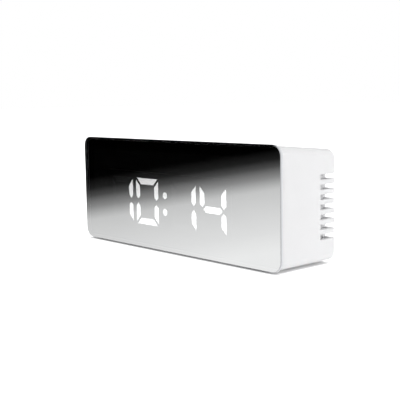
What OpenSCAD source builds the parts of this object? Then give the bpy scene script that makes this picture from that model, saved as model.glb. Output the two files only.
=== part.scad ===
// Mirror alarm clock, all sizes in millimetres.
// The clock stands on z = 0 and faces -Y. The origin is under the middle of its box.

/* [Body] */
// Width of the front panel
case_w = 138; // [130:0.5:170]
// Height of the front panel
panel_h = 52.1; // [51:0.1:64]
// Depth from the mirror's face to the back
case_d = 35.2; // [35:0.1:48]
// Radius of the front panel's corners
corner_r = 4.8; // [4:0.1:8]
// Fall of the top from the front to the back
top_drop = 3; // [1:0.1:3.6]
// Thickness of the housing's walls
wall = 2; // [1.8:0.1:2.4]
// How far the housing stays inside the panel's outline
panel_inset = 0.5; // [0.2:0.1:1]
// Height of the panel's lower edge over the table
panel_lift = 0.7; // [0.4:0.1:2]
// Radius of the edge round the back
rear_r = 1.2; // [0.6:0.1:1.6]

/* [Front] */
// Thickness of the mirror panel
panel_t = 1.5; // [1:0.1:3]
// Thickness of the adhesive frame
tape_t = 0.2; // [0.1:0.05:0.5]
// Width of the adhesive frame
tape_w = 4; // [2:0.5:6]
// Thickness of the carrier behind the panel
carrier_t = 2; // [1.6:0.1:3]
// Depth of the rebate that the carrier sits in
rebate = 0.8; // [0.5:0.1:1]
// Width of a snap hook
hook_w = 6; // [4:0.5:8]
// Distance of the snap hooks from the panel's sides
hook_inset = 8.5; // [8:0.5:11]

/* [Display] */
// Hours and minutes that are lit
time_shown = [1, 0, 1, 4];
// Width of a digit
digit_w = 17.3; // [15:0.1:18]
// Height of a digit
digit_h = 22.4; // [18:0.1:26]
// Distance between the digits of a pair
digit_pitch = 19.7; // [18.8:0.1:21]
// Space for the colon between the pairs
colon_w = 9.5; // [7:0.1:12]
// Width of an upright bar
bar_w = 3.3; // [2:0.1:4]
// Height of a level bar
bar_h = 3; // [2:0.1:4]
// Gap between two bars
bar_gap = 1.1; // [0.6:0.1:1.6]
// Diameter of the colon's dots
dot_d = 3.3; // [2:0.1:4]
// How far the digits lie left of the middle
display_shift = 5.7; // [3:0.1:7]
// How far the digits lie under the panel's middle
display_drop = 4.1; // [2:0.1:5]
// Depth of the reflector block
block_d = 6; // [5:0.1:7]

/* [Batteries] */
// Diameter of a cell
cell_d = 10.5; // [10:0.1:10.8]
// Length of a cell with its nub
cell_l = 44.5; // [42:0.1:46]
// Length of a contact spring in place
spring_l = 4.4; // [3.6:0.1:5.5]
// Distance of the battery bay's middle from the panel's left side
bay_inset = 42; // [40:0.5:43]
// Thickness of the battery door
door_t = 1.8; // [1.6:0.1:2]

/* [Controls] */
// Distance of the control panel's middle from the panel's right side
ctrl_inset = 36; // [35:0.5:37]
// Width of the control panel
ctrl_w = 52; // [50:0.5:53]
// Height of the control panel
ctrl_h = 34; // [32:0.5:37]
// Depth of the control panel under the back face
ctrl_sunk = 0.9; // [0.8:0.1:1]
// Diameter of a button
button_d = 6.4; // [5:0.1:7]
// Distance between buttons
button_pitch = 12; // [11:0.1:12.5]
// Travel of a button
button_travel = 0.5; // [0.2:0.05:0.6]
// Travel of the brightness slider
slide_travel = 2.5; // [2:0.1:4]

/* [Vents] */
// Number of slots at each corner
vent_count = 7; // [5:1:8]
// Height of a slot
vent_h = 2.1; // [1.5:0.1:2.6]
// Distance between slots
vent_pitch = 4.25; // [4:0.05:4.6]
// Length of a slot on the side
vent_side_l = 9.8; // [6:0.1:12]
// Length of a slot on the back
vent_back_l = 5.4; // [3:0.1:6]

/* [Feet] */
// Diameter of a foot
foot_d = 9; // [6:0.5:12]
// Depth of a foot's pocket
foot_sunk = 0.6; // [0.3:0.1:1]

/* [Hidden] */
$fn = 48;

// Clearances and the overrun that carries every cut past its face
overrun = 1;
seat_gap = 0.05;
fit_gap = 0.1;
door_gap = 0.2;
slip_gap = 0.15;

// Planes along the depth, from the front to the back
front_y = -case_d / 2;
back_y = case_d / 2;
panel_back = front_y + panel_t;
carrier_front = panel_back + tape_t;
carrier_back = carrier_front + carrier_t;
film_t = tape_t;
block_front = panel_back + film_t;
block_back = block_front + block_d;
wall_in_y = back_y - wall;

// Housing outline
house_w = case_w - 2 * panel_inset;
house_low = panel_lift + panel_inset;
house_h = panel_h - 2 * panel_inset;
house_r = corner_r - panel_inset;
house_d = back_y - panel_back;
rear_h = house_h - top_drop;
back_mid = house_low + rear_h / 2;
edge_t = 0.5;
inner_r = max(house_r - wall, rear_r);
rebate_side = wall - rebate;

// Snap hooks and the ribs that they catch
hook_x = case_w / 2 - hook_inset;
hook_t = 1.2;
catch_h = 1;
catch_t = 1.2;
catch_back = 6.5;
catch_y = carrier_back + catch_back;
tooth_t = 1;

// Display
block_rim = 3;
block_x = -display_shift;
block_z = panel_lift + panel_h / 2 - display_drop;
mitre = bar_gap / sqrt(2);
well_gap = 0.03;
fill_d = 4.6;
led_w = 1.6;
led_h = 0.8;
led_t = 0.8;
pair_x = (digit_pitch + digit_w + colon_w) / 2;
digit_x = [-pair_x - digit_pitch / 2, -pair_x + digit_pitch / 2, pair_x - digit_pitch / 2,
    pair_x + digit_pitch / 2];
dot_share = 0.176;
dot_z = digit_h * dot_share;
GLYPHS = ["abcdef", "bc", "abdeg", "abcdg", "bcfg", "acdfg", "acdefg", "abc", "abcdefg", "abcdfg"];
block_w = digit_x[3] - digit_x[0] + digit_w + 2 * block_rim;
block_h = digit_h + 2 * block_rim;

// Boards
board_t = 1.6;
board_margin_x = 4;
board_margin_z = 2.8;
board_w = block_w + 2 * board_margin_x;
board_h = block_h + 2 * board_margin_z;
board_back = block_back + board_t;
screw_hole_r = 1.15;
screw_pilot_r = 0.85;
screw_head_r = 1.9;
screw_head_t = 1.3;
recess_reach_share = 0.6;
recess_w_share = 0.25;
screw_l = 5;
post_r = 1.9;
post_inset = 2;
post_x = board_w / 2 - post_inset;
post_z = board_h / 2 - post_inset;

// Control board, stood off the back by its posts
ctrl_x = case_w / 2 - ctrl_inset;
ctrl_stand = 6.4;
ctrl_board_back = wall_in_y - ctrl_stand;
ctrl_board_front = ctrl_board_back - board_t;
ctrl_board_inset_x = 2;
ctrl_board_inset_z = 1;
ctrl_board_w = ctrl_w - 2 * ctrl_board_inset_x;
ctrl_board_h = ctrl_h - 2 * ctrl_board_inset_z;
ctrl_floor = back_y - ctrl_sunk;
ctrl_r = 2;
row_z = back_mid + ctrl_h / 4;
low_row_z = back_mid - ctrl_h / 4;

// Buttons and their switches
button_r = button_d / 2;
button_sunk = 0.15;
flange_t = 0.8;
flange_lip = 0.8;
stem_r = 1.5;
switch_w = 6;
switch_t = 3.5;
plunger_r = 1.7;
plunger_out = 1;
plunger_in = 0.6;
plunger_tip = ctrl_board_back + switch_t + plunger_out;

// Brightness slide
slide_x = ctrl_x + ctrl_w / 6;
slide_w = 9;
slide_h = 3.8;
slide_t = 3.6;
stem_w = 1.8;
stem_h = 1.6;
stem_in = 0.8;
knob_w = 4.2;
knob_h = 3.2;
groove_w = 0.4;
groove_d = 0.25;
groove_pitch = 1;

// Power inlet
usb_x = ctrl_x - ctrl_w / 4;
usb_w = 7.6;
usb_h = 2.9;
usb_l = 7;
usb_wall = 0.3;
tongue_w = 5;
tongue_h = 0.7;
tongue_l = 4.6;
mouth_l = 5.4;

// Small parts on the boards
chip_w = 10;
chip_t = 1.4;
pin_w = 0.35;
pin_l = 1.2;
pin_pitch = 0.9;
pin_count = 10;
chip_x = block_x - board_w / 5;
can_w = 11;
can_gap = 5.5;
can_x = chip_x + (chip_w + can_w) / 2 + can_gap;
can_h = 4.4;
can_t = 3.4;
resistor_w = 1.6;
resistor_h = 0.8;
resistor_t = 0.5;
resistor_pitch = 2.6;
resistor_count = 12;
socket_w = 14;
socket_h = 3.2;
socket_l = 3.5;
ribbon_w = 11;
ribbon_t = 0.4;
ribbon_r = 1.2;
ribbon_rise = 8.4;
ribbon_run = (ctrl_board_front - board_back) / 2 - socket_l - ribbon_r;
ribbon_mid = (ctrl_board_front + board_back) / 2;
buzzer_r = 6;
buzzer_l = 7;
buzzer_hole_r = 1;
buzzer_hole_d = 1.5;
buzzer_gap = 0.5;
buzzer_x = ctrl_x + socket_w / 2 + buzzer_gap + buzzer_r;
cap_r = 2.5;
cap_l = 7;
cap_pitch = 6.5;
bead_r = 1.1;
bead_lead_r = 0.25;
bead_reach = 3;

// Battery bay
bay_x = bay_inset - case_w / 2;
cell_count = 3;
cell_gap = 0.3;
cell_pitch = cell_d + cell_gap;
nub_r = 1.9;
nub_l = 1;
contact_t = 0.4;
contact_w = 8;
bay_wall = 1.2;
bay_w = 2 * contact_t + spring_l + cell_l + seat_gap;
bay_h = cell_count * cell_pitch + cell_gap;
cell_y = back_y - door_t - cell_gap - cell_d / 2;
cradle_web = 0.4;
bay_floor = cell_y - cell_d / 2 - seat_gap - cradle_web;
cradle_h = 2.4;
bay_left = bay_x - bay_w / 2;
bay_right = bay_x + bay_w / 2;
bay_low = back_mid - bay_h / 2;
tab_w = 2;
tab_out = 1;
lead_start = bay_floor - bay_wall - tab_out;

// Battery door
pivot_r = 1.4;
pin_r = 0.8;
pin_gap = 0.06;
pivot_pin_l = 1.5;
door_lip = 1.2;
door_w = bay_w + 2 * door_lip;
door_low = bay_low - bay_wall - door_gap - 2 * pivot_r;
door_top = bay_low + bay_h + door_lip;
axis_y = back_y - pivot_r;
axis_z = door_low + pivot_r;
scoop_r = 7;
scoop_d = 1.1;
scoop_rise = 3.2;
latch_w = 14;
latch_h = 9;
slit_w = 0.8;

// Contact springs
wire_r = 0.3;
spring_r = 3.4;
spring_tip_r = 2.2;
curls = 3.5;
curl_rings = 8;
wire_sides = 6;

// Battery leads
lead_r = 0.6;
lead_shift = 6;
lead_rings = 14;
lead_sides = 8;

// Ribs beside the vents
rib_t = 1.2;
rib_l = 12;
rib_over = 2;
bead_room = 0.5;

// Feet
foot_x_inset = 14;
foot_y_inset = 8;

// Height of the housing's top face at a depth
function top_at(y) = house_low + house_h - (y - panel_back) * top_drop / house_d;

// Cell places and the side of each cell's flat end: -1 is the left
function cell_z(i) = back_mid + (i - (cell_count - 1) / 2) * cell_pitch;
function flat_side(i) = i % 2 == 0 ? -1 : 1;

// A plate in the XZ plane with round corners, from y = 0 to t, standing on z = 0
module plate(w, h, r, t) {
    translate([0, t, 0]) rotate([90, 0, 0]) linear_extrude(t) union() {
        translate([-w / 2 + r, 0]) square([w - 2 * r, h]);
        translate([-w / 2, r]) square([w, h - 2 * r]);
        for (sx = [-1, 1], z = [r, h - r]) translate([sx * (w / 2 - r), z]) circle(r);
    }
}

// A rod along Y from y = 0 to l
module rod(r, l) {
    rotate([-90, 0, 0]) cylinder(r = r, h = l);
}

// A box with its low corner at p and its high corner at q
module span(p, q) {
    translate(p) cube(q - p);
}

// The places of the housing's four long edges at a depth, for an edge of radius r
module long_edges(y, inset, r) {
    for (sx = [-1, 1], z = [house_low + inset + r, top_at(y) - inset - r])
        translate([sx * (house_w / 2 - inset - r), y, z]) children();
}

// The housing's outer form, with its edge round the back
module outer_form() {
    hull() {
        long_edges(panel_back, 0, house_r) rod(house_r, edge_t, $fn = 32);
        long_edges(back_y - rear_r, 0, house_r) rotate([90, 0, 0])
            rotate_extrude($fn = 32) translate([house_r - rear_r, 0]) circle(rear_r, $fn = 16);
    }
}

// The room inside the housing's walls
module inner_form() {
    hull() {
        long_edges(panel_back - overrun, wall, inner_r) rod(inner_r, edge_t, $fn = 32);
        long_edges(wall_in_y - edge_t, wall, inner_r) rod(inner_r, edge_t, $fn = 32);
    }
}

// Corners of the bars a to g of a digit, about its middle
function level_bar(z, s) = [
    [-digit_w / 2 + mitre, z], [digit_w / 2 - mitre, z],
    [digit_w / 2 - mitre - bar_h, z - s * bar_h], [-digit_w / 2 + mitre + bar_h, z - s * bar_h]];
function middle_bar() = [
    [-digit_w / 2 + bar_w / 2 + mitre, 0], [-digit_w / 2 + (bar_w + bar_h) / 2 + mitre, bar_h / 2],
    [digit_w / 2 - (bar_w + bar_h) / 2 - mitre, bar_h / 2], [digit_w / 2 - bar_w / 2 - mitre, 0],
    [digit_w / 2 - (bar_w + bar_h) / 2 - mitre, -bar_h / 2],
    [-digit_w / 2 + (bar_w + bar_h) / 2 + mitre, -bar_h / 2]];
function upright_bar(sx, sz) = [
    [sx * digit_w / 2, sz * (digit_h / 2 - mitre)],
    [sx * (digit_w / 2 - bar_w), sz * (digit_h / 2 - mitre - bar_w)],
    [sx * (digit_w / 2 - bar_w), sz * (mitre + bar_w / 2)],
    [sx * (digit_w - bar_w) / 2, sz * mitre],
    [sx * digit_w / 2, sz * (mitre + bar_w / 2)]];
function bar_points(k) =
    k == "a" ? level_bar(digit_h / 2, 1) :
    k == "b" ? upright_bar(1, 1) :
    k == "c" ? upright_bar(1, -1) :
    k == "d" ? level_bar(-digit_h / 2, -1) :
    k == "e" ? upright_bar(-1, -1) :
    k == "f" ? upright_bar(-1, 1) :
    middle_bar();
function bar_middle(k) =
    k == "a" ? [0, (digit_h - bar_h) / 2] :
    k == "b" ? [(digit_w - bar_w) / 2, digit_h / 4] :
    k == "c" ? [(digit_w - bar_w) / 2, -digit_h / 4] :
    k == "d" ? [0, -(digit_h - bar_h) / 2] :
    k == "e" ? [-(digit_w - bar_w) / 2, -digit_h / 4] :
    k == "f" ? [-(digit_w - bar_w) / 2, digit_h / 4] :
    [0, 0];
function is_lit(i, k) = len(search(k, GLYPHS[time_shown[i]])) > 0;

// The bars that are wanted, from y0 to y1: lit ones, dark ones or both
module bars(y0, y1, lit, dark) {
    for (i = [0 : 3], k = "abcdefg")
        if (is_lit(i, k) ? lit : dark)
            translate([block_x + digit_x[i], y1, block_z]) rotate([90, 0, 0])
                linear_extrude(y1 - y0) polygon(bar_points(k));
    if (lit)
        for (s = [-1, 1]) translate([block_x, y0, block_z + s * dot_z]) rod(dot_d / 2, y1 - y0);
}

// A board screw, its head's seat at the origin, its shank along +Y
module board_screw() {
    reach = screw_head_r * recess_reach_share;
    slot = screw_head_r * recess_w_share / 2;
    difference() {
        translate([0, -screw_head_t, 0]) rod(screw_head_r, screw_head_t);
        for (a = [0, 90]) rotate([0, a, 0])
            span([-reach, -screw_head_t - overrun, -slot], [reach, -screw_head_t / 2, slot]);
    }
    rod(screw_pilot_r, screw_l);
}

// The places of the screws on each board
module display_posts() {
    for (sx = [-1, 1], sz = [-1, 1]) translate([block_x + sx * post_x, 0, block_z + sz * post_z]) children();
}
module control_posts() {
    for (sx = [-1, 1]) translate([ctrl_x + sx * (ctrl_board_w / 2 - post_r), 0, back_mid]) children();
    translate([ctrl_x - ctrl_w / 24, 0, low_row_z]) children();
}

// A tube swept along points, each ring square to the path
function unit(v) = v / norm(v);
function heading(p, i) = unit(p[min(i + 1, len(p) - 1)] - p[max(i - 1, 0)]);
function ring(c, dir, side, r, n) = let (u = unit(cross(dir, side)), v = cross(dir, u))
    [for (k = [0 : n - 1]) c + r * (cos(360 * k / n) * u + sin(360 * k / n) * v)];
module tube(p, r, n, side) {
    m = len(p);
    points = [for (i = [0 : m - 1]) each ring(p[i], heading(p, i), side, r, n)];
    sides = [for (i = [0 : m - 2], k = [0 : n - 1]) let (a = i * n + k, b = i * n + (k + 1) % n)
        each [[a, b, b + n], [a, b + n, a + n]]];
    near = [for (k = [1 : n - 2]) [0, k + 1, k]];
    far = [for (k = [1 : n - 2]) [(m - 1) * n, (m - 1) * n + k, (m - 1) * n + k + 1]];
    polyhedron(points, concat(sides, near, far));
}

module mirror_panel() {
    color("dimgray") translate([0, front_y, panel_lift]) plate(case_w, panel_h, corner_r, panel_t);
}

// The carrier's outline, made smaller by an inset
module carrier_plate(y, inset, t) {
    side = rebate_side + fit_gap + inset;
    translate([0, y, house_low + side]) plate(house_w - 2 * side, house_h - 2 * side, inner_r, t);
}

module panel_tape() {
    color("gray") difference() {
        carrier_plate(panel_back, fit_gap, tape_t);
        translate([0, -overrun, 0]) carrier_plate(panel_back, fit_gap + tape_w, tape_t + 2 * overrun);
    }
}

// A hook arm that reaches back from the carrier. s is 1 at the top and -1 at the bottom
module hook(x, s) {
    tooth_y = catch_y + catch_t + fit_gap;
    wall_z = s > 0 ? top_at(tooth_y + tooth_t) - wall : house_low + wall;
    outer = wall_z - s * (catch_h + fit_gap);
    inner = outer - s * hook_t;
    tip = wall_z - s * fit_gap;
    span([x - hook_w / 2, carrier_back - carrier_t / 2, min(outer, inner)],
        [x + hook_w / 2, tooth_y + tooth_t, max(outer, inner)]);
    span([x - hook_w / 2, tooth_y, min(outer - s * hook_t / 2, tip)],
        [x + hook_w / 2, tooth_y + tooth_t, max(outer - s * hook_t / 2, tip)]);
}

module front_carrier() {
    color("dimgray") difference() {
        union() {
            carrier_plate(carrier_front, 0, carrier_t);
            display_posts() translate([0, carrier_back - carrier_t / 2, 0])
                rod(post_r, block_back - carrier_back + carrier_t / 2);
            for (sx = [-1, 1], s = [-1, 1]) hook(sx * hook_x, s);
        }
        span([block_x - block_w / 2 - fit_gap, carrier_front - overrun, block_z - block_h / 2 - fit_gap],
            [block_x + block_w / 2 + fit_gap, carrier_back + overrun, block_z + block_h / 2 + fit_gap]);
        display_posts() translate([0, board_back - screw_l - fit_gap, 0])
            rod(screw_pilot_r, screw_l + overrun);
    }
}

module face_film() {
    color("black") difference() {
        span([block_x - block_w / 2, panel_back, block_z - block_h / 2],
            [block_x + block_w / 2, block_front, block_z + block_h / 2]);
        bars(panel_back - overrun, block_front + overrun, true, true);
    }
}

module digit_block() {
    color("white") difference() {
        span([block_x - block_w / 2, block_front, block_z - block_h / 2],
            [block_x + block_w / 2, block_back, block_z + block_h / 2]);
        bars(block_front - overrun, block_back + overrun, true, true);
    }
}

module lit_segments() {
    color("ivory") bars(block_front, block_front + fill_d, true, false);
}

module dark_segments() {
    color("lightgray") bars(block_front, block_front + fill_d, false, true);
}

// Lamps on the display board, one behind each bar and dot
module lamp(x, z) {
    translate([x, block_back - led_t, z])
        span([-led_w / 2, 0, -led_h / 2], [led_w / 2, led_t, led_h / 2]);
}
module segment_leds() {
    color("lemonchiffon") {
        for (i = [0 : 3], k = "abcdefg")
            lamp(block_x + digit_x[i] + bar_middle(k).x, block_z + bar_middle(k).y);
        for (s = [-1, 1]) lamp(block_x, block_z + s * dot_z);
    }
}

module display_board() {
    color("darkgreen") difference() {
        span([block_x - board_w / 2, block_back, block_z - board_h / 2],
            [block_x + board_w / 2, board_back, block_z + board_h / 2]);
        display_posts() translate([0, block_back - overrun, 0]) rod(screw_hole_r, board_t + 2 * overrun);
    }
}

module display_screws() {
    color("silver") display_posts() translate([0, board_back, 0]) rotate([0, 0, 180]) board_screw();
}

module controller_chip() {
    color("black") translate([chip_x, board_back, block_z]) {
        span([-chip_w / 2, pin_w / 2, -chip_w / 2], [chip_w / 2, chip_t, chip_w / 2]);
        for (q = [0 : 90 : 270], k = [0 : pin_count - 1]) rotate([0, q, 0])
            translate([(k - (pin_count - 1) / 2) * pin_pitch, 0, chip_w / 2])
                span([-pin_w / 2, 0, -pin_w], [pin_w / 2, chip_t / 2, pin_l]);
    }
}

module clock_crystal() {
    color("silver") translate([can_x, board_back, block_z + can_h]) {
        span([-(can_w - can_h) / 2, 0, -can_h / 2], [(can_w - can_h) / 2, can_t, can_h / 2]);
        for (s = [-1, 1]) translate([s * (can_w - can_h) / 2, 0, 0]) rod(can_h / 2, can_t);
    }
}

module board_resistors() {
    color("dimgray") for (k = [0 : resistor_count - 1])
        translate([chip_x + chip_w + k * resistor_pitch, board_back, block_z - chip_w])
            span([-resistor_h / 2, 0, -resistor_w / 2], [resistor_h / 2, resistor_t, resistor_w / 2]);
}

// One socket on each board, for the ribbon between them
module ribbon_sockets() {
    color("ivory") {
        translate([ctrl_x, board_back, back_mid - ribbon_rise / 2])
            span([-socket_w / 2, 0, -socket_h / 2], [socket_w / 2, socket_l, socket_h / 2]);
        translate([ctrl_x, ctrl_board_front - socket_l, back_mid + ribbon_rise / 2])
            span([-socket_w / 2, 0, -socket_h / 2], [socket_w / 2, socket_l, socket_h / 2]);
    }
}

// Two quarter turns and their runs, drawn in Y and Z and drawn out along X
module ribbon_cable() {
    upright = ribbon_rise / 2 - ribbon_r;
    color("lightgray") translate([ctrl_x - ribbon_w / 2, ribbon_mid, back_mid])
        rotate([90, 0, 90]) linear_extrude(ribbon_w) for (turn = [0, 180]) rotate(turn) {
            translate([-ribbon_t / 2, -upright]) square([ribbon_t, upright]);
            translate([0, -upright]) intersection() {
                translate([-ribbon_r, 0]) difference() {
                    circle(ribbon_r + ribbon_t / 2);
                    circle(ribbon_r - ribbon_t / 2);
                }
                translate([-ribbon_r, -2 * ribbon_r]) square([2 * ribbon_r, 2 * ribbon_r]);
            }
            translate([-ribbon_r - ribbon_run, -ribbon_rise / 2 - ribbon_t / 2])
                square([ribbon_run, ribbon_t]);
        }
}

// Slots that go round one rear corner
module vents() {
    for (k = [0 : vent_count - 1])
        translate([house_w / 2, back_y, back_mid + (k - (vent_count - 1) / 2) * vent_pitch])
            span([-vent_back_l, -vent_side_l, -vent_h / 2], [overrun, overrun, vent_h / 2]);
}

// A rib beside each set of slots, between them and the boards. A window in one lets air to the bead
module vent_ribs() {
    rib_x = house_w / 2 - vent_back_l;
    rib_h = (vent_count - 1) * vent_pitch + vent_h + 2 * rib_over;
    difference() {
        for (sx = [0, 1]) mirror([sx, 0, 0])
            span([rib_x - rib_t, wall_in_y - rib_l, back_mid - rib_h / 2],
                [rib_x, wall_in_y + wall / 2, back_mid + rib_h / 2]);
        translate([rib_x - rib_t - overrun, ctrl_board_back - board_t / 2, low_row_z])
            rotate([0, 90, 0]) cylinder(r = bead_r + bead_room, h = rib_t + 2 * overrun);
    }
}

module feet_places() {
    for (sx = [-1, 1], y = [panel_back + foot_y_inset, back_y - foot_y_inset])
        translate([sx * (house_w / 2 - foot_x_inset), y, 0]) children();
}

module housing_additions() {
    for (sx = [-1, 1]) {
        span([sx * hook_x - hook_w, catch_y, house_low + wall / 2],
            [sx * hook_x + hook_w, catch_y + catch_t, house_low + wall + catch_h]);
        span([sx * hook_x - hook_w, catch_y, top_at(catch_y + catch_t) - wall - catch_h],
            [sx * hook_x + hook_w, catch_y + catch_t, top_at(catch_y + catch_t) - wall / 2]);
    }
    span([bay_left - bay_wall, bay_floor - bay_wall, bay_low - bay_wall],
        [bay_right + bay_wall, wall_in_y + wall / 2, bay_low + bay_h + bay_wall]);
    span([bay_x - door_w / 2 - pivot_pin_l - bay_wall, axis_y - pivot_r - wall, house_low + wall / 2],
        [bay_x + door_w / 2 + pivot_pin_l + bay_wall, wall_in_y + wall / 2, bay_low]);
    control_posts() translate([0, ctrl_board_back, 0]) rod(post_r, ctrl_stand + (wall - ctrl_sunk) / 2);
}

module battery_bay_cut() {
    difference() {
        span([bay_left, bay_floor, bay_low], [bay_right, back_y + overrun, bay_low + bay_h]);
        difference() {
            span([bay_left + contact_t + spring_l, bay_floor - overrun, bay_low - overrun],
                [bay_right - contact_t - spring_l, bay_floor + cradle_h, bay_low + bay_h + overrun]);
            for (i = [0 : cell_count - 1]) translate([bay_left - overrun, cell_y, cell_z(i)])
                rotate([0, 90, 0]) cylinder(r = cell_d / 2 + seat_gap, h = bay_w + 2 * overrun);
        }
    }
    span([bay_x - door_w / 2 - door_gap, back_y - door_t - seat_gap, door_low - door_gap],
        [bay_x + door_w / 2 + door_gap, back_y + overrun, door_top + door_gap]);
    span([bay_x - door_w / 2 - door_gap, axis_y - pivot_r - door_gap, door_low - door_gap],
        [bay_x + door_w / 2 + door_gap, back_y, axis_z + pivot_r + door_gap]);
    translate([bay_x - door_w / 2 - pivot_pin_l - seat_gap, axis_y, axis_z]) rotate([0, 90, 0])
        cylinder(r = pin_r + pin_gap, h = door_w + 2 * (pivot_pin_l + seat_gap));
    for (end = [[bay_left, cell_z(0)], [bay_right, cell_z(cell_count - 1)]]) translate([end.x, 0, end.y])
        span([-contact_t - fit_gap, bay_floor - bay_wall - overrun, -tab_w / 2 - fit_gap],
            [contact_t + fit_gap, bay_floor + overrun, tab_w / 2 + fit_gap]);
    intersection() {
        translate([bay_x, back_y - scoop_d, door_top - scoop_r + scoop_rise]) rod(scoop_r, scoop_d + overrun);
        span([bay_x - scoop_r, back_y - scoop_d, door_top],
            [bay_x + scoop_r, back_y + overrun, door_top + scoop_r]);
    }
}

module control_cuts() {
    translate([ctrl_x, ctrl_floor, back_mid - ctrl_h / 2]) plate(ctrl_w, ctrl_h, ctrl_r, ctrl_sunk + overrun);
    for (i = [0 : 3]) translate([button_x(i), wall_in_y - overrun, row_z])
        rod(button_r + slip_gap, wall + overrun);
    translate([slide_x, 0, low_row_z])
        span([-(stem_w + slide_travel) / 2 - slip_gap, wall_in_y - overrun, -stem_h / 2 - slip_gap],
            [(stem_w + slide_travel) / 2 + slip_gap, back_y, stem_h / 2 + slip_gap]);
    translate([usb_x, 0, low_row_z]) span([-usb_w / 2 - slip_gap, wall_in_y - overrun, -usb_h / 2 - slip_gap],
        [usb_w / 2 + slip_gap, back_y, usb_h / 2 + slip_gap]);
    control_posts() translate([0, ctrl_board_back - overrun, 0])
        rod(screw_pilot_r, screw_l - board_t + fit_gap + overrun);
}

module housing() {
    color("white") difference() {
        union() {
            difference() {
                outer_form();
                inner_form();
            }
            housing_additions();
            vent_ribs();
        }
        translate([0, panel_back - overrun, house_low + rebate_side])
            plate(house_w - 2 * rebate_side, house_h - 2 * rebate_side, inner_r,
                carrier_back - panel_back + overrun);
        battery_bay_cut();
        control_cuts();
        vents();
        mirror([1, 0, 0]) vents();
        feet_places() translate([0, 0, -overrun])
            cylinder(r = foot_d / 2 + fit_gap, h = house_low + foot_sunk + overrun);
    }
}

module control_board() {
    color("darkgreen") difference() {
        span([ctrl_x - ctrl_board_w / 2, ctrl_board_front, back_mid - ctrl_board_h / 2],
            [ctrl_x + ctrl_board_w / 2, ctrl_board_back, back_mid + ctrl_board_h / 2]);
        control_posts() translate([0, ctrl_board_front - overrun, 0])
            rod(screw_hole_r, board_t + 2 * overrun);
    }
}

module control_screws() {
    color("silver") control_posts() translate([0, ctrl_board_front, 0]) board_screw();
}

module board_capacitors() {
    color("slategray") for (k = [0, 1])
        translate([usb_x - cap_r + k * cap_pitch, ctrl_board_front - cap_l, low_row_z]) rod(cap_r, cap_l);
}

module buzzer() {
    color("black") translate([buzzer_x, ctrl_board_front - buzzer_l, row_z])
        difference() {
            rod(buzzer_r, buzzer_l);
            translate([0, -overrun, 0]) rod(buzzer_hole_r, buzzer_hole_d + overrun);
        }
}

// A bead on two leads, out from the board's edge beside the vents
module thermistor() {
    x = ctrl_x + ctrl_board_w / 2;
    color("black") translate([x, ctrl_board_back - board_t / 2, low_row_z]) {
        translate([bead_reach, 0, 0]) sphere(bead_r);
        for (s = [-1, 1]) translate([0, 0, s * bead_r / 2]) rotate([0, 90, 0])
            cylinder(r = bead_lead_r, h = bead_reach);
    }
}

function button_x(i) = ctrl_x + (i - 1.5) * button_pitch;

module switch_bodies() {
    color("dimgray") for (i = [0 : 3]) translate([button_x(i), ctrl_board_back, row_z]) difference() {
        span([-switch_w / 2, 0, -switch_w / 2], [switch_w / 2, switch_t, switch_w / 2]);
        translate([0, switch_t - plunger_in - button_travel - fit_gap, 0])
            rod(plunger_r + fit_gap, switch_t);
    }
}

module plunger(i) {
    color("black") translate([button_x(i), plunger_tip - plunger_out - plunger_in, row_z])
        rod(plunger_r, plunger_out + plunger_in);
}

// A button: its cap, the flange that keeps it in, and the stem that meets the switch
module button(i) {
    flange_y = wall_in_y - seat_gap - flange_t;
    color("whitesmoke") translate([button_x(i), 0, row_z]) {
        translate([0, flange_y, 0]) rod(button_r, back_y - button_sunk - flange_y);
        translate([0, flange_y, 0]) rod(button_r + flange_lip, flange_t);
        translate([0, plunger_tip, 0]) rod(stem_r, flange_y + flange_t / 2 - plunger_tip);
    }
}

module mode_button() { button(0); }
module set_button() { button(1); }
module up_button() { button(2); }
module down_button() { button(3); }
module mode_plunger() { plunger(0); }
module set_plunger() { plunger(1); }
module up_plunger() { plunger(2); }
module down_plunger() { plunger(3); }

module slide_switch_body() {
    color("dimgray") translate([slide_x, ctrl_board_back, low_row_z]) difference() {
        span([-slide_w / 2, 0, -slide_h / 2], [slide_w / 2, slide_t, slide_h / 2]);
        span([-(stem_w + slide_travel) / 2 - slip_gap, slide_t - stem_in - slip_gap, -stem_h / 2 - slip_gap],
            [(stem_w + slide_travel) / 2 + slip_gap, slide_t + overrun, stem_h / 2 + slip_gap]);
    }
}

// The slider's stem and its grooved knob, at the low end of its travel
module brightness_slider() {
    color("whitesmoke") translate([slide_x - slide_travel / 2, 0, low_row_z]) {
        span([-stem_w / 2, ctrl_board_back + slide_t - stem_in, -stem_h / 2],
            [stem_w / 2, ctrl_floor + ctrl_sunk / 2, stem_h / 2]);
        difference() {
            span([-knob_w / 2, ctrl_floor + seat_gap, -knob_h / 2],
                [knob_w / 2, back_y - seat_gap, knob_h / 2]);
            for (k = [-1, 0, 1]) translate([k * groove_pitch, 0, 0])
                span([-groove_w / 2, back_y - seat_gap - groove_d, -knob_h],
                    [groove_w / 2, back_y + overrun, knob_h]);
        }
    }
}

module usb_socket() {
    color("silver") translate([usb_x, ctrl_board_back, low_row_z]) {
        difference() {
            span([-usb_w / 2, 0, -usb_h / 2], [usb_w / 2, usb_l, usb_h / 2]);
            span([-usb_w / 2 + usb_wall, usb_l - mouth_l, -usb_h / 2 + usb_wall],
                [usb_w / 2 - usb_wall, usb_l + overrun, usb_h / 2 - usb_wall]);
        }
        span([-tongue_w / 2, usb_l - mouth_l - usb_wall, -tongue_h / 2],
            [tongue_w / 2, usb_l - mouth_l + tongue_l, tongue_h / 2]);
    }
}

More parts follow.
